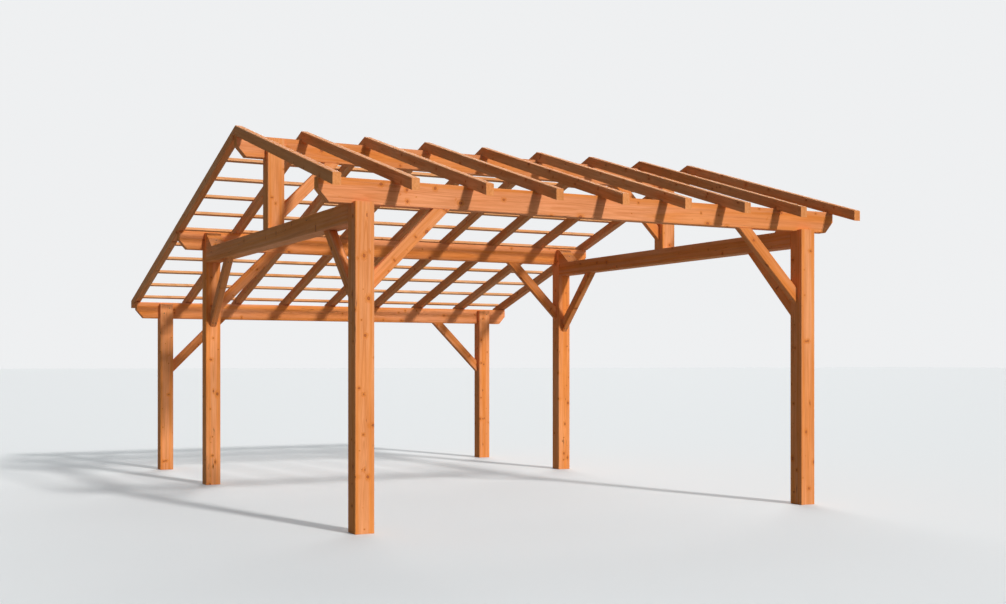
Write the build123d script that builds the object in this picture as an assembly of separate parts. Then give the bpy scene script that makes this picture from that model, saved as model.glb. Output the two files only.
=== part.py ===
"""Open timber carport with a low double-pitch roof frame, short slope to the front.

Three pairs of posts stand in a rectangle. The front and middle pairs are tied front to back,
and a short king post on each tie carries the ridge beam. Each post head is halved: the beam
bears on the shoulder behind the tongue that is left standing, which is cut down to a low lip
on the front posts. Nine pairs of rafters are notched over the beams, and roofing battens run
across the long rear slope.

Millimetres. +X is the width of the bay, +Y runs from the front to the rear, +Z is up.
The origin is on the ground, under the middle of the roof.
"""
import os
from math import cos, radians, tan

from build123d import *

# Plan of the posts
POST = 140.0
BAY_WIDTH = 3900.0
FRONT_BAY = 3970.0
REAR_BAY = 1955.0

# Beams across the bay
BEAM_THICK = 85.0
BEAM_HEIGHT = 175.0
BEAM_SEAT = 2255.0
BEAM_OVERHANG = 243.0
BEAM_CUT_LENGTH = 78.0
BEAM_CUT_HEIGHT = 90.0
TONGUE_SHORT = 15.0
FRONT_LIP = 12.0

# Ties along the bay, with a haunch at each end
TIE_RISE = 15.0
HAUNCH_LENGTH = 200.0

# Braces at 45 degrees, flush with the beam's face or in the middle of the tie
BRACE_THICK = 60.0
BRACE_DEPTH = 90.0
BRACE_LEG = 598.0
TIE_BRACE_LEG = 615.0
RIDGE_BRACE_LEG = 500.0

# Roof
ROOF_PITCH = 16.6
RAFTER_WIDTH = 60.0
RAFTER_DEPTH = 80.0
RAFTER_COUNT = 9
RAFTER_PROUD = 12.0
RIDGE_NOTCH = 8.0
REAR_NOTCH = 12.0
EAVE_FRONT = 255.0
EAVE_REAR = 155.0

# Battens on the rear slope
BATTEN_WIDTH = 38.0
BATTEN_THICK = 25.0
BATTEN_COUNT = 11
BATTEN_STEP = 397.0
BATTEN_FIRST = 275.0

# Clearance at the side of a lap and at the plumb heel of a notch
LAP_PLAY = 0.3

# Bevel of the planed timbers' long edges
EDGE_EASE = 4.0

TONGUE = POST - BEAM_THICK
TONGUE_HEIGHT = BEAM_HEIGHT - TONGUE_SHORT
RISE = tan(radians(ROOF_PITCH))
LEAN = cos(radians(ROOF_PITCH))

# Front-to-back places, first from the front face of the front posts
front_post_y = 0.0
mid_post_y = FRONT_BAY
rear_post_y = FRONT_BAY + REAR_BAY
ridge_y = (front_post_y + mid_post_y + POST) / 2
king_y = ridge_y - POST / 2
front_eave_y = -EAVE_FRONT
rear_eave_y = rear_post_y + POST + EAVE_REAR

# The same places, moved so that the middle of the roof is over the origin
middle = (front_eave_y + rear_eave_y) / 2
front_post_y -= middle
mid_post_y -= middle
rear_post_y -= middle
ridge_y -= middle
king_y -= middle
front_eave_y -= middle
rear_eave_y -= middle

# Left edges of the left and right posts, and the reach of beams and rafters
left_post_x = -BAY_WIDTH / 2 - POST / 2
right_post_x = BAY_WIDTH / 2 - POST / 2
beam_reach = BAY_WIDTH / 2 + POST / 2 + BEAM_OVERHANG
rafter_reach = beam_reach + RAFTER_PROUD

# Front face of each beam, behind its tongue
front_beam_y = front_post_y + TONGUE
mid_beam_y = mid_post_y + TONGUE
rear_beam_y = rear_post_y + TONGUE
ridge_beam_y = king_y + TONGUE

# Lower face of the rafters at the ridge, set by the middle beam's front top edge
rafter_apex = BEAM_SEAT + BEAM_HEIGHT + (mid_beam_y - ridge_y) * RISE
rafter_plumb = RAFTER_DEPTH / LEAN


def under_roof(y):
    """Height of the rafters' lower face at y."""
    return rafter_apex - abs(y - ridge_y) * RISE


# Seat heights of the rear and ridge beams, and the two levels of the ties
rear_seat = under_roof(rear_beam_y + BEAM_THICK) + REAR_NOTCH - BEAM_HEIGHT
ridge_seat = rafter_apex + RIDGE_NOTCH - BEAM_HEIGHT
tie_top = BEAM_SEAT + TIE_RISE
tie_bottom = tie_top - POST


def along_y(points, x, width):
    """Solid with an outline of (y, z) points, running `width` in +X from x."""
    outline = make_face(Polyline(*points, close=True))
    return Pos(x, 0, 0) * extrude(Plane.YZ * outline, width)


def along_x(points, y, thick):
    """Solid with an outline of (x, z) points, running `thick` in +Y from y."""
    outline = make_face(Polyline(*points, close=True))
    return Pos(0, y, 0) * extrude(Plane.XZ * outline, -thick)


def eased(timber, grain, count=4):
    """The timber with its longest edges along the grain bevelled, `count` of them."""
    edges = timber.edges().filter_by(Axis((0, 0, 0), grain)).sort_by(SortBy.LENGTH)
    return chamfer(edges[-count:], EDGE_EASE)


def halved_post(x, y, foot, seat, tongue_height):
    """Square post whose head is halved: a shoulder for the beam, and a tongue before it."""
    top = seat + tongue_height
    tongue_face = y + TONGUE - LAP_PLAY
    outline = [(y, foot), (y + POST, foot), (y + POST, seat), (tongue_face, seat), (tongue_face, top), (y, top)]
    return eased(along_y(outline, x, POST), (0, 0, 1))


def beam(y, seat):
    """Beam across the bay, its lower corners cut back at both ends."""
    top = seat + BEAM_HEIGHT
    half = [
        (beam_reach - BEAM_CUT_LENGTH, seat),
        (beam_reach, seat + BEAM_CUT_HEIGHT),
        (beam_reach, top),
    ]
    return eased(along_x([(-x, z) for x, z in half[::-1]] + half, y, BEAM_THICK), (1, 0, 0))


def tie(x):
    """Tie between a front and a middle post, with a haunch rising to the head of each."""
    start = front_post_y + POST
    end = mid_post_y
    head = BEAM_SEAT + TONGUE_HEIGHT
    outline = [
        (start, tie_bottom),
        (end, tie_bottom),
        (end, head),
        (end - HAUNCH_LENGTH, tie_top),
        (start + HAUNCH_LENGTH, tie_top),
        (start, head),
    ]
    return eased(along_y(outline, x, POST), (0, 1, 0))


def brace_outline(corner, side, level, leg):
    """Outline of a 45-degree brace in the corner between an upright face and a level face.

    corner is the upright's face, side is +1 or -1 away from it, level is the face above.
    """
    end = BRACE_DEPTH / cos(radians(45))
    return [
        (corner, level - leg),
        (corner + side * leg, level),
        (corner + side * (leg - end), level),
        (corner, level - leg + end),
    ]


def rafter(x, side, run, seats):
    """Rafter from the ridge down to one eave, notched over each seat.

    side is -1 to the front and +1 to the rear. A seat is its near and far distance
    from the ridge and its height.
    """
    outline = [(0, rafter_apex + rafter_plumb), (run, rafter_apex + rafter_plumb - run * RISE)]
    outline += [(run, rafter_apex - run * RISE)]
    for near, far, height in reversed(seats):
        heel = far + LAP_PLAY
        outline += [(heel, rafter_apex - heel * RISE), (heel, height), (near, height)]
    bar = along_y([(ridge_y + side * d, z) for d, z in outline], x - RAFTER_WIDTH / 2, RAFTER_WIDTH)
    return eased(bar, (0, side, -RISE), 2)


def battens():
    """Battens across the rear rafters, square to the slope, that end on the middle of the outer ones."""
    top_of_ridge = rafter_apex + rafter_plumb
    batten_length = 2 * rafter_reach - RAFTER_WIDTH
    rows = []
    for row in range(BATTEN_COUNT):
        bar = Box(batten_length, BATTEN_WIDTH, BATTEN_THICK, align=(Align.CENTER, Align.CENTER, Align.MIN))
        on_slope = Pos(0, BATTEN_FIRST + row * BATTEN_STEP, 0) * bar
        rows.append(Pos(0, ridge_y, top_of_ridge) * Rot(-ROOF_PITCH, 0, 0) * on_slope)
    return Compound(children=rows)


parts = {}

# Posts, left and right of the bay
for name, x in (("left", left_post_x), ("right", right_post_x)):
    parts["post_front_" + name] = halved_post(x, front_post_y, 0, BEAM_SEAT, FRONT_LIP)
    parts["post_mid_" + name] = halved_post(x, mid_post_y, 0, BEAM_SEAT, TONGUE_HEIGHT)
    parts["post_rear_" + name] = halved_post(x, rear_post_y, 0, rear_seat, TONGUE_HEIGHT)
    parts["tie_" + name] = tie(x)
    parts["king_post_" + name] = halved_post(x, king_y, tie_top, ridge_seat, TONGUE_HEIGHT)

# Beams across the bay
parts["beam_front"] = beam(front_beam_y, BEAM_SEAT)
parts["beam_ridge"] = beam(ridge_beam_y, ridge_seat)
parts["beam_mid"] = beam(mid_beam_y, BEAM_SEAT)
parts["beam_rear"] = beam(rear_beam_y, rear_seat)

# Braces from the posts to the beams, and from the posts to the ties
for name, face, side, post_x in (
    ("left", left_post_x + POST, 1, left_post_x),
    ("right", right_post_x, -1, right_post_x),
):
    for place, y, level, leg in (
        ("front", front_beam_y, BEAM_SEAT, BRACE_LEG),
        ("mid", mid_beam_y, BEAM_SEAT, BRACE_LEG),
        ("rear", rear_beam_y, rear_seat, BRACE_LEG),
        ("ridge", ridge_beam_y, ridge_seat, RIDGE_BRACE_LEG),
    ):
        brace = along_x(brace_outline(face, side, level, leg), y, BRACE_THICK)
        parts["brace_" + place + "_" + name] = eased(brace, (side, 0, 1))
    for place, face_y, side_y in (("front", front_post_y + POST, 1), ("mid", mid_post_y, -1)):
        outline = brace_outline(face_y, side_y, tie_bottom, TIE_BRACE_LEG)
        brace = along_y(outline, post_x + (POST - BRACE_THICK) / 2, BRACE_THICK)
        parts["tie_brace_" + place + "_" + name] = eased(brace, (0, side_y, 1))

# Rafters, in pairs that meet at the ridge
ridge_top = ridge_seat + BEAM_HEIGHT
front_seats = [(0, ridge_y - ridge_beam_y, ridge_top)]
rear_seats = [(0, ridge_beam_y + BEAM_THICK - ridge_y, ridge_top)]
for seats, far, seat in (
    (front_seats, ridge_y - front_beam_y, BEAM_SEAT),
    (rear_seats, mid_beam_y + BEAM_THICK - ridge_y, BEAM_SEAT),
    (rear_seats, rear_beam_y + BEAM_THICK - ridge_y, rear_seat),
):
    top = seat + BEAM_HEIGHT
    seats += [((rafter_apex - top) / RISE, far, top)]
rafter_step = (2 * rafter_reach - RAFTER_WIDTH) / (RAFTER_COUNT - 1)
for number in range(RAFTER_COUNT):
    x = -rafter_reach + RAFTER_WIDTH / 2 + number * rafter_step
    parts["rafter_front_%d" % (number + 1)] = rafter(x, -1, ridge_y - front_eave_y, front_seats)
    parts["rafter_rear_%d" % (number + 1)] = rafter(x, 1, rear_eave_y - ridge_y, rear_seats)

parts["battens"] = battens()

os.makedirs("parts", exist_ok=True)
for node, solid in parts.items():
    export_step(solid, "parts/" + node + ".step")
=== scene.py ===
"""Looks of the open timber carport: stained softwood, its screws, a plain studio and the camera.

Metres. +X is the width of the bay, +Y runs from the front to the rear, +Z is up.
The sections follow the carport as it is put together, from the posts to the battens.
"""
import math
import random

import bpy
from mathutils import Euler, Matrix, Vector


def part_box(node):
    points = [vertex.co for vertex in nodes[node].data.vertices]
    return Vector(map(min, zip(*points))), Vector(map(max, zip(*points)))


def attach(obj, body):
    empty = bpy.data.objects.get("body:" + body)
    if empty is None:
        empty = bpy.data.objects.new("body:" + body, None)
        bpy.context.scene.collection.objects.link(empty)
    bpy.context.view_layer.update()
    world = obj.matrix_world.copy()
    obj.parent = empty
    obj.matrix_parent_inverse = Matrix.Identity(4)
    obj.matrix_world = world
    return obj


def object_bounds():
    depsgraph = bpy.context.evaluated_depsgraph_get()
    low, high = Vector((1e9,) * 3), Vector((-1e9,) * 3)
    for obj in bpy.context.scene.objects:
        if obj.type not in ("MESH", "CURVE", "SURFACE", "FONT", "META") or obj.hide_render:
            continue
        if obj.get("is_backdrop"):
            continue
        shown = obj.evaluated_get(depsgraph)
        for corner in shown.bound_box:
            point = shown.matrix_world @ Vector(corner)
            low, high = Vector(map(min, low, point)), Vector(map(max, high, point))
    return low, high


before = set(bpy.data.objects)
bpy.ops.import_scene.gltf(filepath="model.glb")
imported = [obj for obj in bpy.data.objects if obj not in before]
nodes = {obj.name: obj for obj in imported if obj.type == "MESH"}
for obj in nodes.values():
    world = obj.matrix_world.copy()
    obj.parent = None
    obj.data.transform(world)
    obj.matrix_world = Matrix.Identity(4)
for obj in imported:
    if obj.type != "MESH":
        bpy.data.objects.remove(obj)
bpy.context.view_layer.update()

# Posts: six square posts of planed softwood under a thin honey-brown stain. They are cut near the
# heart, so knots run out of all four faces and the growth rings show as long arches and stripes.
# Each head is halved for a beam, and each foot stands straight on the ground.

POST_TONE = (0.865, 0.337, 0.130)
POST_STRIPE = (0.835, 0.273, 0.060)
POST_HEART = 0.03
UPRIGHT = (0, math.radians(90), 0)

KNOT_TONE = (0.340, 0.085, 0.030)
# Painted shade in the drying checks
CHECK_PAINTED_SHADE = (0.12, 0.040, 0.015)
WOOD_SPECULAR = 0.06
BUMP_STRENGTH = 0.8

# The span that most of a cloud's values lie in, how fast its finer waves fade, and levels that fall
CLOUD_SPAN = (0.2, 0.8)
CLOUD_ROUGHNESS = 0.55
FALL = (1.0, 0.0)


def feed(tree, socket, value):
    """Links a socket to its source, or sets it to a plain value."""
    if isinstance(value, bpy.types.NodeSocket):
        tree.links.new(value, socket)
    else:
        socket.default_value = value


def add(tree, kind, feeds=(), **settings):
    """A node of that kind with its settings. Each feed is a socket's name or number and what goes in."""
    node = tree.nodes.new(kind)
    for setting, value in settings.items():
        setattr(node, setting, value)
    for socket, value in feeds:
        feed(tree, node.inputs[socket], value)
    return node


def calc(tree, operation, a, b=0.0):
    """Two numbers worked together."""
    return add(tree, "ShaderNodeMath", ((0, a), (1, b)), operation=operation).outputs[0]


def add_shares(tree, total, effects):
    """The total with each effect added in its share."""
    for effect, share in effects:
        total = calc(tree, "ADD", total, calc(tree, "MULTIPLY", effect, share))
    return total


def vector(tree, operation, a, b=(0, 0, 0), output="Vector"):
    """Two vectors worked together."""
    return add(tree, "ShaderNodeVectorMath", ((0, a), (1, b)), operation=operation).outputs[output]


def scaled(tree, value, share):
    """A vector or colour times a number."""
    feeds = ((0, value), ("Scale", share))
    return add(tree, "ShaderNodeVectorMath", feeds, operation="SCALE").outputs["Vector"]


def split(tree, value):
    """The X, Y and Z of a vector."""
    return add(tree, "ShaderNodeSeparateXYZ", ((0, value),)).outputs


def join(tree, x=0.0, y=0.0, z=0.0):
    """A vector from its X, Y and Z."""
    return add(tree, "ShaderNodeCombineXYZ", ((0, x), (1, y), (2, z))).outputs[0]


def ramp(tree, value, span, levels=(0.0, 1.0)):
    """The value's smooth change over the span, from the first level to the second."""
    feeds = (
        ("Value", value), ("From Min", span[0]), ("From Max", span[1]),
        ("To Min", levels[0]), ("To Max", levels[1]),
    )
    return add(tree, "ShaderNodeMapRange", feeds, interpolation_type="SMOOTHSTEP").outputs["Result"]


def cloud(tree, point, waves, detail, output="Fac"):
    """Noise at the point, with so many waves to the metre along each axis."""
    place = vector(tree, "MULTIPLY", point, waves)
    feeds = (("Vector", place), ("Scale", 1.0), ("Detail", detail), ("Roughness", CLOUD_ROUGHNESS))
    return add(tree, "ShaderNodeTexNoise", feeds).outputs[output]


def blend(tree, share, first, second):
    """Two colours mixed by a share."""
    node = add(tree, "ShaderNodeMix", data_type="RGBA")
    open_sockets = [socket for socket in node.inputs if socket.enabled]
    for socket, value in zip(open_sockets, (share, first, second)):
        feed(tree, socket, value)
    return next(socket for socket in node.outputs if socket.enabled)


def wandering(tree, straight):
    """The point in a timber whose grain wanders a little along its length."""
    wander_waves = (0.9, 2.5, 2.5)
    wander_reach = (0, 0.03, 0.03)
    cloud_middle = (0.5, 0.5, 0.5)
    wander = cloud(tree, straight, wander_waves, detail=1.0, output="Color")
    wander = vector(tree, "SUBTRACT", wander, cloud_middle)
    return vector(tree, "ADD", straight, vector(tree, "MULTIPLY", wander, wander_reach))


def branches(tree, given, point, across, along):
    """Knots are branches that run straight out from the heart.

    Gives the knot, its dark rim, the wood near it and the knot's size.
    """
    squeezes = (0.62, 1.25)
    sizes = (0.28, 1.25)
    ragged_waves = (90, 90, 90)
    ragged_reach = (0.86, 1.14)
    knot_edge = (0.80, 1.08)
    rim_edge = (0.50, 0.95)
    near_edge = (0.9, 3.6)

    # A cell for each branch, set out along the timber and round the heart
    step = calc(tree, "DIVIDE", along, given["Knot Spacing"])
    place = vector(tree, "ADD", vector(tree, "NORMALIZE", across), join(tree, x=step))
    branch = add(tree, "ShaderNodeTexVoronoi", (("Vector", place), ("Scale", 1.0))).outputs
    start = calc(tree, "MULTIPLY", split(tree, branch["Position"])["X"], given["Knot Spacing"])
    heading = vector(tree, "NORMALIZE", vector(tree, "MULTIPLY", branch["Position"], (0, 1, 1)))
    luck = split(tree, branch["Color"])

    # How far the point is from the branch's middle line, as a share of the knot's size
    aside = vector(tree, "LENGTH", vector(tree, "CROSS_PRODUCT", across, heading), output="Value")
    ahead = calc(tree, "SUBTRACT", along, start)
    ahead = calc(tree, "MULTIPLY", ahead, ramp(tree, luck["Y"], (0.0, 1.0), squeezes))
    squares = calc(tree, "ADD", calc(tree, "MULTIPLY", ahead, ahead), calc(tree, "MULTIPLY", aside, aside))
    ragged = ramp(tree, cloud(tree, point, ragged_waves, detail=1.0), CLOUD_SPAN, ragged_reach)
    gap = calc(tree, "MULTIPLY", calc(tree, "SQRT", squares), ragged)
    size = calc(tree, "MULTIPLY", given["Knot Size"], ramp(tree, luck["X"], (0.1, 1.0), sizes))
    share = calc(tree, "DIVIDE", gap, size)

    knot = ramp(tree, share, knot_edge, FALL)
    rim = calc(tree, "MULTIPLY", ramp(tree, share, rim_edge), knot)
    near = ramp(tree, share, near_edge, FALL)
    return knot, rim, near, size


def rings(tree, given, radius, along, near, size):
    """Growth rings that bend round the knots, each year's unlike the next.

    Gives the dark late wood of each ring, and the broad band of stripes it lies in.
    """
    bend_share = 0.8
    summer = (0.35, 0.90)
    winter = (0.90, 1.0)
    change_along = 0.35
    year_waves = (1, 150, 1)
    year_span = (0.3, 0.7)
    year_strengths = (0.25, 1.0)
    band_waves = (1, 42, 1)
    band_edge = (0.38, 0.64)

    bend = calc(tree, "MULTIPLY", near, calc(tree, "MULTIPLY", size, bend_share))
    bent = calc(tree, "ADD", radius, bend)
    season = calc(tree, "FRACT", calc(tree, "DIVIDE", bent, given["Ring Spacing"]))
    late = calc(tree, "MULTIPLY", ramp(tree, season, summer), ramp(tree, season, winter, FALL))
    year_point = join(tree, x=calc(tree, "MULTIPLY", along, change_along), y=bent)
    strength = ramp(tree, cloud(tree, year_point, year_waves, detail=0.0), year_span, year_strengths)
    band = ramp(tree, cloud(tree, year_point, band_waves, detail=2.0), band_edge)
    return calc(tree, "MULTIPLY", late, strength), band


def drying_checks(tree, given, point, end_facing):
    """Fine long cracks along the grain, in some places only, and not in faces cut across the grain."""
    line_waves = (0.8, 24, 24)
    line_edge = (0.0015, 0.006)
    place_waves = (1.3, 7, 7)
    place_edge = (0.60, 0.69)
    slanting = (0.15, 0.40)

    # A crack follows the line where a cloud is at its middle value
    line = calc(tree, "SUBTRACT", cloud(tree, point, line_waves, detail=1.0), 0.5)
    line = ramp(tree, calc(tree, "ABSOLUTE", line), line_edge, FALL)
    place = ramp(tree, cloud(tree, point, place_waves, detail=0.0), place_edge)
    check = calc(tree, "MULTIPLY", calc(tree, "MULTIPLY", line, place), given["Checks"])
    return calc(tree, "MULTIPLY", check, ramp(tree, end_facing, slanting, FALL))


def softwood_group():
    """Planed softwood round its heart: rings, stripes, knots, drying checks with painted shade, end grain,
    and eased edges with a painted highlight.

    The point's X runs along the grain and its origin is on the heart, in metres.
    """
    tree = bpy.data.node_groups.new("stained_softwood", "ShaderNodeTree")
    for in_out, kind, names in (
        ("INPUT", "NodeSocketVector", ("Grain Point", "Face Normal")),
        ("INPUT", "NodeSocketColor", ("Tone", "Stripe", "Knot")),
        ("INPUT", "NodeSocketFloat", ("Ring Spacing", "Knot Spacing", "Knot Size", "Checks", "Saw Marks")),
        ("OUTPUT", "NodeSocketColor", ("Color",)),
        ("OUTPUT", "NodeSocketFloat", ("Roughness", "Height")),
    ):
        for name in names:
            tree.interface.new_socket(name, in_out=in_out, socket_type=kind)
    given = tree.nodes.new("NodeGroupInput").outputs

    point = wandering(tree, given["Grain Point"])
    across = vector(tree, "MULTIPLY", point, (0, 1, 1))
    radius = vector(tree, "LENGTH", across, output="Value")
    along = split(tree, point)["X"]
    knot, rim, near, size = branches(tree, given, point, across, along)
    late, band = rings(tree, given, radius, along, near, size)

    # Where the stain soaked in unevenly: in streaks, in single fibres and in wide patches
    soak_waves = (2.5, 55, 55)
    fibre_waves = (14, 420, 420)
    patch_waves = (1.1, 4, 4)
    soak = cloud(tree, point, soak_waves, detail=3.0)
    fibre = cloud(tree, point, fibre_waves, detail=1.0)
    patch = cloud(tree, point, patch_waves, detail=1.0)

    # Cut ends and eased edges show by how a face lies to the grain. The eased edges get a painted
    # highlight.
    end_facing = (0.80, 0.95)
    eased_facing = (0.45, 0.62)
    facing = split(tree, vector(tree, "ABSOLUTE", given["Face Normal"]))
    cut_end = ramp(tree, facing["X"], end_facing)
    edge_highlight = ramp(tree, calc(tree, "MINIMUM", facing["Y"], facing["Z"]), eased_facing)
    check = drying_checks(tree, given, point, facing["X"])

    # Cut ends and the wood near knots soaked up more stain
    end_soak = calc(tree, "MULTIPLY", cut_end, 0.75)
    knot_soak = calc(tree, "MULTIPLY", near, 0.8)
    color = blend(tree, band, given["Tone"], given["Stripe"])
    color = blend(tree, calc(tree, "MAXIMUM", end_soak, knot_soak), color, given["Stripe"])

    # Over its span, each effect takes the light from its first level to its second
    late_shades = (0.14, 0.20)
    late_shade = calc(tree, "MULTIPLY", late, ramp(tree, cut_end, (0, 1), late_shades))
    light = calc(tree, "SUBTRACT", 1.0, late_shade)
    for effect, span, levels in (
        (soak, (0.25, 0.75), (0.90, 1.07)),
        (fibre, CLOUD_SPAN, (0.95, 1.04)),
        (patch, (0.25, 0.75), (0.94, 1.05)),
        (cut_end, (0, 1), (1.0, 1.08)),
        # painted highlight: the eased edges are made a little lighter
        (edge_highlight, (0, 1), (1.0, 1.04)),
        (near, (0, 1), (1.0, 0.93)),
    ):
        light = calc(tree, "MULTIPLY", light, ramp(tree, effect, span, levels))

    # Darker wood is also deeper in colour, so red, green and blue each fall by their own power
    depth_powers = (0.9, 1.5, 2.4)
    depth = [calc(tree, "POWER", light, power) for power in depth_powers]
    color = vector(tree, "MULTIPLY", color, join(tree, *depth))

    knot_levels = (1.30, 0.62)
    knot_cover = 0.85
    check_shade_cover = 0.60
    knot_color = scaled(tree, given["Knot"], ramp(tree, rim, (0, 1), knot_levels))
    color = blend(tree, calc(tree, "MULTIPLY", knot, knot_cover), color, knot_color)
    # Painted shade darkens the drying checks
    color = blend(tree, calc(tree, "MULTIPLY", check, check_shade_cover), color, (*CHECK_PAINTED_SHADE, 1))

    # Each effect adds its share to the roughness, and its metres to the height of the surface
    plain_roughness = 0.60
    tooth_waves = (430, 18, 18)
    tooth = calc(tree, "MULTIPLY", cloud(tree, point, tooth_waves, detail=1.0), given["Saw Marks"])
    rough_shares = ((soak, 0.20), (cut_end, 0.12), (knot, -0.10), (given["Saw Marks"], 0.12))
    rises = ((late, 0.00012), (fibre, 0.00015), (knot, 0.0002), (check, -0.0010), (tooth, 0.0005))
    rough = add_shares(tree, plain_roughness, rough_shares)
    height = add_shares(tree, 0.0, rises)
    add(tree, "NodeGroupOutput", (("Color", color), ("Roughness", rough), ("Height", height)))
    return tree


softwood = softwood_group()

# Each timber is another length from the stack: how far its heart is turned (radians), shifted (metres)
# and tilted (degrees), how light it is, how wide its rings are (metres) and how far its knots are apart
lot = random.Random(8)
LOT_TURN = 0.35
LOT_SHIFT = 9
LOT_TILT = 0.5
LOT_LIGHT = (0.93, 1.05)
LOT_RINGS = (0.0028, 0.0042)
LOT_KNOTS = (0.85, 1.2)


def timber(name, turn, tone, stripe, heart, knots=0.28, knot_size=0.008, checks=1.0, saw_marks=0.0):
    """Stained softwood for one CAD timber.

    `turn` lays its grain along X, and `heart` is how far from the heart it was cut.
    """
    low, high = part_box(name)
    side = lot.choice((0, math.pi)) + lot.uniform(-LOT_TURN, LOT_TURN)
    off = Vector((lot.uniform(-LOT_SHIFT, LOT_SHIFT), heart * math.cos(side), heart * math.sin(side)))
    tilts = [math.radians(lot.uniform(-LOT_TILT, LOT_TILT)) for axis in "YZ"]
    lightness = lot.uniform(*LOT_LIGHT)
    ring_spacing = lot.uniform(*LOT_RINGS)
    knot_spacing = knots * lot.uniform(*LOT_KNOTS)
    turned = (Euler((0, *tilts)).to_matrix() @ Euler(turn).to_matrix()).to_euler()
    middle = turned.to_matrix() @ ((low + high) / 2)

    material = bpy.data.materials.new("stain_" + name)
    material.use_nodes = True
    tree = material.node_tree
    shader = tree.nodes["Principled BSDF"]
    shader.inputs["Specular IOR Level"].default_value = WOOD_SPECULAR
    source = add(tree, "ShaderNodeTexCoord").outputs
    point_feeds = (("Vector", source["Object"]), ("Location", off - middle), ("Rotation", turned))
    point = add(tree, "ShaderNodeMapping", point_feeds)
    facing_feeds = (("Vector", source["Normal"]), ("Rotation", turned))
    facing = add(tree, "ShaderNodeMapping", facing_feeds, vector_type="VECTOR")
    wood_feeds = (
        ("Grain Point", point.outputs[0]),
        ("Face Normal", facing.outputs[0]),
        ("Tone", (*(part * lightness for part in tone), 1)),
        ("Stripe", (*(part * lightness for part in stripe), 1)),
        ("Knot", (*KNOT_TONE, 1)),
        ("Ring Spacing", ring_spacing),
        ("Knot Spacing", knot_spacing),
        ("Knot Size", knot_size),
        ("Checks", checks),
        ("Saw Marks", saw_marks),
    )
    wood = add(tree, "ShaderNodeGroup", wood_feeds, node_tree=softwood).outputs
    bump_feeds = (("Height", wood["Height"]), ("Distance", 1.0), ("Strength", BUMP_STRENGTH))
    bump = add(tree, "ShaderNodeBump", bump_feeds)
    tree.links.new(wood["Color"], shader.inputs["Base Color"])
    tree.links.new(wood["Roughness"], shader.inputs["Roughness"])
    tree.links.new(bump.outputs["Normal"], shader.inputs["Normal"])
    nodes[name].data.materials.clear()
    nodes[name].data.materials.append(material)


for row in ("front", "mid", "rear"):
    for side in ("left", "right"):
        timber("post_%s_%s" % (row, side), UPRIGHT, POST_TONE, POST_STRIPE, heart=POST_HEART)

# Ties: a square timber of the same stock between each front and middle post, flush with both. A haunch
# rises at each end to the head of the post. The short king posts stand on the ties under the ridge.

TIE_TONE = (0.775, 0.312, 0.124)
TIE_STRIPE = (0.745, 0.255, 0.058)
TIE_HEART = 0.02
FRONT_TO_REAR = math.radians(-90)

for side in ("left", "right"):
    timber("tie_" + side, (0, 0, FRONT_TO_REAR), TIE_TONE, TIE_STRIPE, heart=TIE_HEART)
    timber("king_post_" + side, UPRIGHT, TIE_TONE, TIE_STRIPE, heart=POST_HEART)

# Beams: four deep beams laid in the halved heads, with a sawn 45-degree cut under each end. They are
# cut beside the heart, so their wide faces show long flat arches.

BEAM_TONE = (0.820, 0.316, 0.132)
BEAM_STRIPE = (0.790, 0.260, 0.060)
BEAM_HEART = 0.13
LEVEL = (0, 0, 0)

for place in ("front", "ridge", "mid", "rear"):
    timber("beam_" + place, LEVEL, BEAM_TONE, BEAM_STRIPE, heart=BEAM_HEART, knots=0.22)

# Braces: planed lengths mitred into the corners between the posts and the beams or ties, at 45 degrees.
# Their grain runs along them, so each pair is turned its own way.

BRACE_TONE = (0.830, 0.318, 0.119)
BRACE_STRIPE = (0.795, 0.257, 0.059)
BRACE_HEART = 0.06
SLANT = math.radians(45)

for place in ("front", "mid", "rear", "ridge"):
    for side, slant in (("left", SLANT), ("right", -SLANT)):
        timber("brace_%s_%s" % (place, side), (0, slant, 0), BRACE_TONE, BRACE_STRIPE, heart=BRACE_HEART)
for side in ("left", "right"):
    for place, slant in (("front", -SLANT), ("mid", SLANT)):
        turn = (slant, 0, FRONT_TO_REAR)
        timber("tie_brace_%s_%s" % (place, side), turn, BRACE_TONE, BRACE_STRIPE, heart=BRACE_HEART)

# Rafters: nine pairs of planed rafters that meet at the ridge in a plumb cut, each notched over the
# beams and sawn plumb at the eaves. They are thinner stock, with smaller knots and fewer checks.

RAFTER_TONE = (0.750, 0.340, 0.142)
RAFTER_STRIPE = (0.728, 0.265, 0.080)
RAFTER_NUMBERS = range(1, 10)
PITCH = math.radians(16.6)

for number in RAFTER_NUMBERS:
    for end, slope in (("front", -PITCH), ("rear", PITCH)):
        timber(
            "rafter_%s_%d" % (end, number), (slope, 0, FRONT_TO_REAR), RAFTER_TONE, RAFTER_STRIPE,
            heart=0.07, knots=0.4, knot_size=0.0075, checks=0.4,
        )

# Battens: eleven sawn roofing battens across the rear slope. Their faces are left rough by the saw and
# took the stain paler than the planed timbers.

BATTEN_TONE = (0.800, 0.415, 0.200)
BATTEN_STRIPE = (0.760, 0.345, 0.135)

timber(
    "battens", LEVEL, BATTEN_TONE, BATTEN_STRIPE,
    heart=0.12, knots=0.4, knot_size=0.006, checks=0.0, saw_marks=1.0,
)

# Screws: countersunk wood screws with a six-sided socket, coated a bronze colour. They hold the laps, ties,
# braces, rafters and battens, and their heads stand a millimetre proud. Each group is one piece.

LAP_HEAD = 0.0140
BRACE_HEAD = 0.0120
RAFTER_HEAD = 0.0120
BATTEN_HEAD = 0.0085
SCREW_PROUD = 0.0010
SCREW_SUNK = 0.0010
FLAT_SHARE = 0.90
SOCKET_SHARE = 0.47
SOCKET_DEPTH = 0.0009
HEAD_SIDES = 18
MERGE_WITHIN = 0.00001
SIXTH = math.pi / 3

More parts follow.
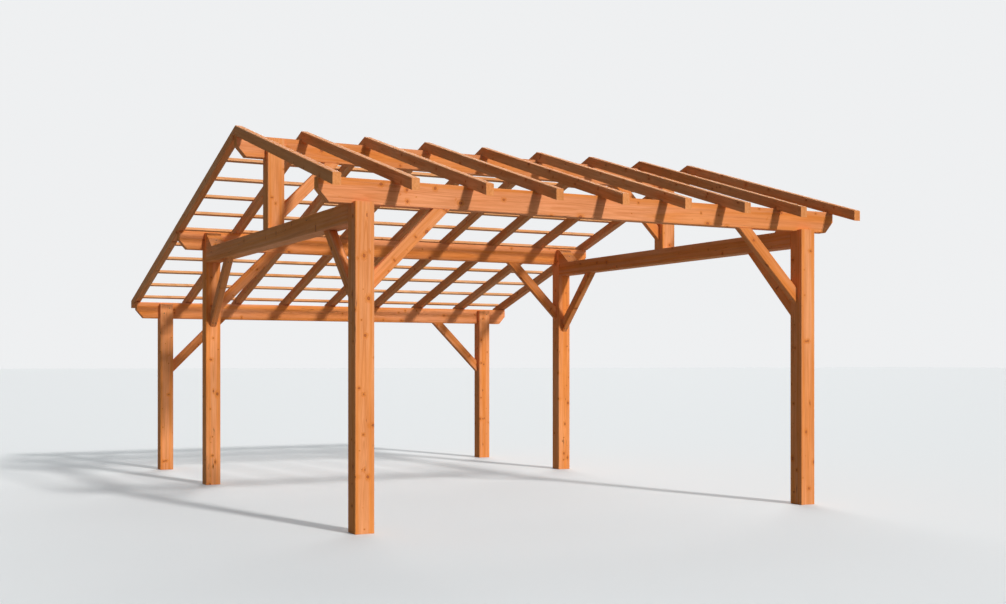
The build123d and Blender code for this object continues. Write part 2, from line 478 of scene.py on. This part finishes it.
BRONZE_DARK = (0.19, 0.10, 0.045)
BRONZE_PALE = (0.31, 0.19, 0.095)
BRONZE_ROUGHNESS = (0.42, 0.66)
# Painted shade in the screw's socket
SOCKET_PAINTED_SHADE = (0.020, 0.013, 0.008)
WEATHER_WAVES = (160, 160, 160)


def extruded(tree, mesh, height, chosen=True):
    """The chosen faces of a mesh drawn out by a height."""
    feeds = (("Mesh", mesh), ("Selection", chosen), ("Offset Scale", height))
    return add(tree, "GeometryNodeExtrudeMesh", feeds, mode="FACES").outputs


def shrunk(tree, mesh, chosen, share):
    """The chosen face of a mesh drawn in to a share of its width."""
    feeds = (("Geometry", mesh), ("Selection", chosen), ("Scale", share))
    return add(tree, "GeometryNodeScaleElements", feeds).outputs["Geometry"]


def screw_head(tree, given):
    """One countersunk head, closed underneath, with its axis along Z and the wood's face at zero."""
    # The wall and the flat top, narrower than the head is where it meets the wood
    radius = calc(tree, "MULTIPLY", given["Head Width"], 0.5)
    disc_feeds = (("Vertices", HEAD_SIDES), ("Radius", radius))
    disc = add(tree, "GeometryNodeMeshCircle", disc_feeds, fill_type="NGON").outputs["Mesh"]
    wall = extruded(tree, disc, calc(tree, "ADD", given["Proud"], given["Sunk"]))
    flat = shrunk(tree, wall["Mesh"], wall["Top"], given["Flat Share"])
    rim = extruded(tree, flat, 0.0, wall["Top"])
    mouth = shrunk(tree, rim["Mesh"], rim["Top"], given["Socket Share"])

    # The socket's mouth is drawn in to six sides, and the socket goes down from it
    spot = add(tree, "GeometryNodeInputPosition").outputs[0]
    part = split(tree, spot)
    turned = calc(tree, "FLOORED_MODULO", calc(tree, "ARCTAN2", part["Y"], part["X"]), SIXTH)
    off_middle = calc(tree, "COSINE", calc(tree, "SUBTRACT", turned, SIXTH / 2))
    inset = calc(tree, "DIVIDE", math.cos(SIXTH / 2), off_middle)
    six_sided = vector(tree, "MULTIPLY", spot, join(tree, inset, inset, 1.0))
    six_feeds = (("Geometry", mouth), ("Selection", rim["Top"]), ("Position", six_sided))
    six = add(tree, "GeometryNodeSetPosition", six_feeds).outputs["Geometry"]
    deep = extruded(tree, six, calc(tree, "MULTIPLY", given["Socket Depth"], -1.0), rim["Top"])

    # The attribute "socket" is one in the socket, where the coating gets painted shade
    inside = calc(tree, "MAXIMUM", deep["Top"], deep["Side"])
    mark_feeds = (("Geometry", deep["Mesh"]), ("Name", "socket"), ("Value", inside))
    marked = add(tree, "GeometryNodeStoreNamedAttribute", mark_feeds, data_type="FLOAT", domain="CORNER")

    # Closed underneath, and set into the wood
    base = add(tree, "GeometryNodeFlipFaces", (("Mesh", disc),))
    whole_feeds = (("Geometry", marked.outputs["Geometry"]), ("Geometry", base.outputs["Mesh"]))
    whole = add(tree, "GeometryNodeJoinGeometry", whole_feeds)
    closed_feeds = (("Geometry", whole.outputs["Geometry"]), ("Distance", MERGE_WITHIN))
    closed = add(tree, "GeometryNodeMergeByDistance", closed_feeds)
    drop = join(tree, z=calc(tree, "MULTIPLY", given["Sunk"], -1.0))
    set_feeds = (("Geometry", closed.outputs["Geometry"]), ("Translation", drop))
    return add(tree, "GeometryNodeTransform", set_feeds).outputs["Geometry"]


def screw_tree():
    """Screw heads on the points of a mesh, each facing along its point's attribute "axis"."""
    tree = bpy.data.node_groups.new("screw_heads", "GeometryNodeTree")
    tree.interface.new_socket("Points", in_out="INPUT", socket_type="NodeSocketGeometry")
    for name, value in (
        ("Head Width", LAP_HEAD), ("Proud", SCREW_PROUD), ("Sunk", SCREW_SUNK), ("Flat Share", FLAT_SHARE),
        ("Socket Share", SOCKET_SHARE), ("Socket Depth", SOCKET_DEPTH),
    ):
        tree.interface.new_socket(name, in_out="INPUT", socket_type="NodeSocketFloat").default_value = value
    tree.interface.new_socket("Material", in_out="INPUT", socket_type="NodeSocketMaterial")
    tree.interface.new_socket("Heads", in_out="OUTPUT", socket_type="NodeSocketGeometry")
    given = tree.nodes.new("NodeGroupInput").outputs

    axis = add(tree, "GeometryNodeInputNamedAttribute", (("Name", "axis"),), data_type="FLOAT_VECTOR")
    turn_feeds = (("Vector", axis.outputs["Attribute"]),)
    turn = add(tree, "FunctionNodeAlignRotationToVector", turn_feeds, axis="Z").outputs["Rotation"]
    head_feeds = (("Points", given["Points"]), ("Instance", screw_head(tree, given)), ("Rotation", turn))
    heads = add(tree, "GeometryNodeInstanceOnPoints", head_feeds)
    real = add(tree, "GeometryNodeRealizeInstances", (("Geometry", heads.outputs["Instances"]),))
    done_feeds = (("Geometry", real.outputs["Geometry"]), ("Material", given["Material"]))
    done = add(tree, "GeometryNodeSetMaterial", done_feeds)
    add(tree, "NodeGroupOutput", (("Heads", done.outputs["Geometry"]),))
    return tree


def bronze():
    """Bronze-coloured coating over zinc, dulled by weather, with painted shade in the socket."""
    material = bpy.data.materials.new("bronze_coating")
    material.use_nodes = True
    tree = material.node_tree
    shader = tree.nodes["Principled BSDF"]
    shader.inputs["Metallic"].default_value = 1.0
    place = add(tree, "ShaderNodeTexCoord").outputs["Object"]
    dull = cloud(tree, place, WEATHER_WAVES, detail=2.0)
    color = blend(tree, dull, (*BRONZE_DARK, 1), (*BRONZE_PALE, 1))
    socket = add(tree, "ShaderNodeAttribute", attribute_name="socket").outputs["Fac"]
    # Painted shade in the socket
    color = blend(tree, socket, color, (*SOCKET_PAINTED_SHADE, 1))
    tree.links.new(color, shader.inputs["Base Color"])
    tree.links.new(ramp(tree, dull, CLOUD_SPAN, BRONZE_ROUGHNESS), shader.inputs["Roughness"])
    return material


heads_tree = screw_tree()
coating = bronze()


def screws(name, width, places):
    """One piece with a screw head at each place, a point and the direction that the head faces."""
    mesh = bpy.data.meshes.new(name)
    mesh.from_pydata([point for point, facing in places], [], [])
    axis = mesh.attributes.new("axis", "FLOAT_VECTOR", "POINT")
    for entry, (point, facing) in zip(axis.data, places):
        entry.vector = Vector(facing).normalized()
    seed = bpy.data.objects.new(name + "_points", mesh)
    bpy.context.scene.collection.objects.link(seed)
    modifier = seed.modifiers.new("heads", "NODES")
    modifier.node_group = heads_tree
    inputs = {"Head Width": width, "Material": coating}
    for item in heads_tree.interface.items_tree:
        if item.name in inputs:
            modifier[item.identifier] = inputs[item.name]
    graph = bpy.context.evaluated_depsgraph_get()
    heads = bpy.data.objects.new(name, bpy.data.meshes.new_from_object(seed.evaluated_get(graph)))
    heads.data.materials.pop(index=0)  # the empty slot that Set Material leaves before its own
    bpy.data.objects.remove(seed)
    bpy.context.scene.collection.objects.link(heads)
    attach(heads, "root")


# Two screws through each tongue into its beam, at these shares of the tongue's width and height
LAP_SHARES = ((0.3, 0.35), (0.7, 0.7))
lap_places = []
for post, beam in (
    ("post_mid_%s", "beam_mid"), ("post_rear_%s", "beam_rear"), ("king_post_%s", "beam_ridge"),
):
    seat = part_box(beam)[0].z
    for side in ("left", "right"):
        low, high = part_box(post % side)
        for share_x, share_z in LAP_SHARES:
            x = low.x + (high.x - low.x) * share_x
            z = seat + (high.z - seat) * share_z
            lap_places.append(((x, low.y, z), (0, -1, 0)))

# Two screws down through the front beam into each front post
FRONT_SHARES = (0.27, 0.73)
front_low, front_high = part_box("beam_front")
for side in ("left", "right"):
    low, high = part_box("post_front_" + side)
    for share in FRONT_SHARES:
        x = low.x + (high.x - low.x) * share
        lap_places.append(((x, (front_low.y + front_high.y) / 2, front_high.z), (0, 0, 1)))

# One screw down through each haunch of a tie, a little below the middle of its slope
HAUNCH_LENGTH = 0.200
HAUNCH_RISE = 0.145
HAUNCH_SHARE = 0.55
for side in ("left", "right"):
    low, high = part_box("tie_" + side)
    for end, way in ((low.y, 1), (high.y, -1)):
        top = Vector(((low.x + high.x) / 2, end, high.z))
        slope = Vector((0, way * HAUNCH_LENGTH, -HAUNCH_RISE))
        lap_places.append((top + HAUNCH_SHARE * slope, (0, way * HAUNCH_RISE, HAUNCH_LENGTH)))
screws("screws_laps", LAP_HEAD, lap_places)

# Two screws at each toe of a brace, side by side, in the long lower face
TOE = 0.050
PAIR_HALF = 0.014
across_bay, along_bay, up = Vector((1, 0, 0)), Vector((0, 1, 0)), Vector((0, 0, 1))
brace_places = []
for name in nodes:
    if not name.startswith(("brace_", "tie_brace_")):
        continue
    low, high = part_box(name)
    ahead, aside = (along_bay, across_bay) if name.startswith("tie_brace_") else (across_bay, along_bay)
    if name.startswith("brace_") and name.endswith("_right") or name.startswith("tie_brace_mid"):
        ahead = -ahead
    middle = (low + high) / 2
    reach = (high.z - low.z) / 2
    foot = middle - reach * ahead - reach * up
    head = middle + reach * ahead + reach * up
    run = (head - foot).normalized()
    facing = (ahead - up).normalized()
    for place in (foot + TOE * run, head - TOE * run):
        for way in (-1, 1):
            brace_places.append((place + way * PAIR_HALF * aside, facing))
screws("screws_braces", BRACE_HEAD, brace_places)

# One long screw down through each rafter into every beam, and one near the ridge
RIDGE_AWAY = 0.045
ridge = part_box("rafter_front_1")[1]
rear_axis = Vector((0, math.cos(PITCH), -math.sin(PITCH)))
rear_up = Vector((0, math.sin(PITCH), math.cos(PITCH)))
rafter_boxes = [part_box("rafter_rear_%d" % number) for number in RAFTER_NUMBERS]
rafter_lines = [(low.x + high.x) / 2 for low, high in rafter_boxes]
rafter_places = []
for x in rafter_lines:
    for beam in ("beam_front", "beam_mid", "beam_rear"):
        low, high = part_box(beam)
        y = (low.y + high.y) / 2
        drop = abs(y - ridge.y) * math.tan(PITCH)
        way = 1 if y > ridge.y else -1
        rafter_places.append(((x, y, ridge.z - drop), (0, way * rear_up.y, rear_up.z)))
    for way in (-1, 1):
        drop = RIDGE_AWAY * math.tan(PITCH)
        place = (x, ridge.y + way * RIDGE_AWAY, ridge.z - drop)
        rafter_places.append((place, (0, way * rear_up.y, rear_up.z)))
screws("screws_rafters", RAFTER_HEAD, rafter_places)

# One screw through each batten where it crosses a rafter, a little in from its ends
BATTEN_ROWS = 11
BATTEN_THICK = 0.025
BATTEN_FIRST = 0.275
BATTEN_STEP = 0.397
BATTEN_END = 0.015
batten_places = []
batten_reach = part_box("battens")[1].x - BATTEN_END
for row in range(BATTEN_ROWS):
    down_slope = (BATTEN_FIRST + row * BATTEN_STEP) * rear_axis
    place = Vector((0, ridge.y, ridge.z)) + down_slope + BATTEN_THICK * rear_up
    for x in rafter_lines:
        x = min(max(x, -batten_reach), batten_reach)
        batten_places.append((place + Vector((x, 0, 0)), rear_up))
screws("screws_battens", BATTEN_HEAD, batten_places)

# Studio: a pale floor and a soft light from the front, a little to the right, with the camera where the
# photograph was taken from.

FLOOR_HALF = 300.0
FLOOR_BELOW = 0.001
FLOOR_TONE = (0.80, 0.80, 0.79)
FLOOR_GLOW = 0.08
FLOOR_ROUGHNESS = 0.9
FLOOR_SPECULAR = 0.1


def background_rays(tree):
    """One for rays that see the pale background, the camera's and those of gloss and glass, else zero."""
    rays = add(tree, "ShaderNodeLightPath").outputs
    mirrored = calc(tree, "MAXIMUM", rays["Is Glossy Ray"], rays["Is Transmission Ray"])
    return calc(tree, "MAXIMUM", rays["Is Camera Ray"], mirrored)


floor_mesh = bpy.data.meshes.new("studio_floor")
corners = [(x * FLOOR_HALF, y * FLOOR_HALF, -FLOOR_BELOW) for x, y in ((-1, -1), (1, -1), (1, 1), (-1, 1))]
floor_mesh.from_pydata(corners, [], [(0, 1, 2, 3)])
floor = bpy.data.objects.new("studio_floor", floor_mesh)
bpy.context.scene.collection.objects.link(floor)
floor_material = bpy.data.materials.new("studio_floor")
floor_material.use_nodes = True
floor_tree = floor_material.node_tree
floor_sockets = floor_tree.nodes["Principled BSDF"].inputs
floor_sockets["Roughness"].default_value = FLOOR_ROUGHNESS
floor_sockets["Specular IOR Level"].default_value = FLOOR_SPECULAR
floor_sockets["Emission Color"].default_value = (*FLOOR_TONE, 1)

# The floor looks pale and glows a little, but throws less light back than it seems to, and least far out,
# so that the shaded faces stay dark
FLOOR_DIM = (0.33, 0.35, 0.36)
DIM_SPAN = (4.0, 14.0)
DIM_LEVELS = (1.0, 0.3)
floor_rays = background_rays(floor_tree)
floor_place = add(floor_tree, "ShaderNodeTexCoord").outputs["Object"]
floor_distance = vector(floor_tree, "LENGTH", floor_place, output="Value")
floor_dim = scaled(floor_tree, FLOOR_DIM, ramp(floor_tree, floor_distance, DIM_SPAN, DIM_LEVELS))
floor_color = blend(floor_tree, floor_rays, floor_dim, (*FLOOR_TONE, 1))
floor_glow = calc(floor_tree, "MULTIPLY", floor_rays, FLOOR_GLOW)
floor_tree.links.new(floor_color, floor_sockets["Base Color"])
floor_tree.links.new(floor_glow, floor_sockets["Emission Strength"])
floor_mesh.materials.append(floor_material)
floor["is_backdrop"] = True

for name, comes_from, strength, spread in (
    ("key", (0.26, -1.0, 0.6), 2.60, 5),
    ("fill", (0.7, -1.0, 0.25), 0.85, 70),
    ("back", (0.6, 1.0, 0.7), 1.5, 40),
):
    lamp = bpy.data.lights.new(name, "SUN")
    lamp.energy = strength
    lamp.angle = math.radians(spread)
    lamp_object = bpy.data.objects.new(name, lamp)
    lamp_object.rotation_euler = Vector(comes_from).to_track_quat("Z", "Y").to_euler()
    bpy.context.scene.collection.objects.link(lamp_object)

# A dim light from all round, and the pale background that the camera sees
AROUND_TONE = (0.78, 1.00, 1.18)
AROUND_STRENGTH = 0.15
BACKGROUND_TONE = (0.86, 0.87, 0.88)
world = bpy.data.worlds.new("studio")
bpy.context.scene.world = world
world.use_nodes = True
sky = world.node_tree
around = sky.nodes["Background"]
around.inputs["Color"].default_value = (*AROUND_TONE, 1)
around.inputs["Strength"].default_value = AROUND_STRENGTH
seen = add(sky, "ShaderNodeBackground", (("Color", (*BACKGROUND_TONE, 1)), ("Strength", 1.0)))
shown_feeds = ((0, background_rays(sky)), (1, around.outputs[0]), (2, seen.outputs[0]))
shown = add(sky, "ShaderNodeMixShader", shown_feeds)
sky.links.new(shown.outputs[0], sky.nodes["World Output"].inputs["Surface"])

# The camera looks level. Its focal length and the row of its horizon are in pixels of the photograph
PHOTO_WIDTH = 1006
PHOTO_HEIGHT = 604
FOCAL_PIXELS = 1264.2
HORIZON_ROW = 363.85
SENSOR_WIDTH = 36.0
CAMERA_PLACE = (-5.1072, -11.0520, 1.1595)
CAMERA_TURN = math.radians(-27.602)
camera = bpy.data.cameras.new("photograph")
camera.sensor_width = SENSOR_WIDTH
camera.lens = SENSOR_WIDTH * FOCAL_PIXELS / PHOTO_WIDTH
camera.shift_y = (HORIZON_ROW - PHOTO_HEIGHT / 2) / PHOTO_WIDTH
camera_object = bpy.data.objects.new("photograph", camera)
camera_object.location = CAMERA_PLACE
camera_object.rotation_euler = Euler((math.radians(90), 0, CAMERA_TURN))
bpy.context.scene.collection.objects.link(camera_object)
bpy.context.scene.camera = camera_object
bpy.context.scene.view_settings.view_transform = "Standard"

low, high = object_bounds()
